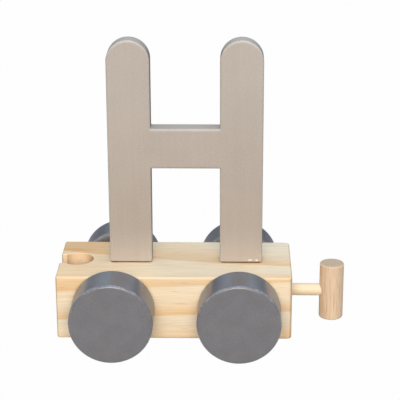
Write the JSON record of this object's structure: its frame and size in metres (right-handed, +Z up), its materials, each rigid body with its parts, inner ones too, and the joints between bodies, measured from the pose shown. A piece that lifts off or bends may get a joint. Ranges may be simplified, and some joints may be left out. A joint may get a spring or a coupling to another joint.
{
  "type": "wooden letter train wagon",
  "caption": "Wooden letter-train wagon: a pine block on turning wheels carries an upright letter H, with a coupling peg on a rod at one end and a keyhole socket at the other.",
  "frame": {"origin": "on the floor, under the middle of the wagon's overall length and width", "axes": "+Z up, +X towards the coupling peg at the rear end, -Y the wagon's left side, which faces the camera in the picture"},
  "size_m": [0.0874, 0.056, 0.0918],
  "materials": {
    "pine": "bare pine, sanded, grain along the block",
    "greige_paint": "board with warm greige satin paint",
    "grey_paint": "turned wood with grey satin paint",
    "birch": "bare pale dowel",
    "beech": "bare beech dowel"
  },
  "bodies": {
    "wagon": {"wagon_block": "pine", "letter_h": "greige_paint", "letter_dowel_front": "beech", "letter_dowel_rear": "beech", "coupling_rod": "birch", "coupling_peg": "beech"},
    "front_wheelset": {"front_axle": "beech", "front_left_wheel": "grey_paint", "front_right_wheel": "grey_paint"},
    "rear_wheelset": {"rear_axle": "beech", "rear_left_wheel": "grey_paint", "rear_right_wheel": "grey_paint"}
  },
  "joints": [
    {"name": "front_axle_spin", "type": "hinge", "parent": "wagon", "child": "front_wheelset", "pos_m": [-0.0264, 0, 0.0125], "axis": [0, 1, 0], "continuous": true},
    {"name": "rear_axle_spin", "type": "hinge", "parent": "wagon", "child": "rear_wheelset", "pos_m": [0.0114, 0, 0.0125], "axis": [0, 1, 0], "continuous": true}
  ]
}
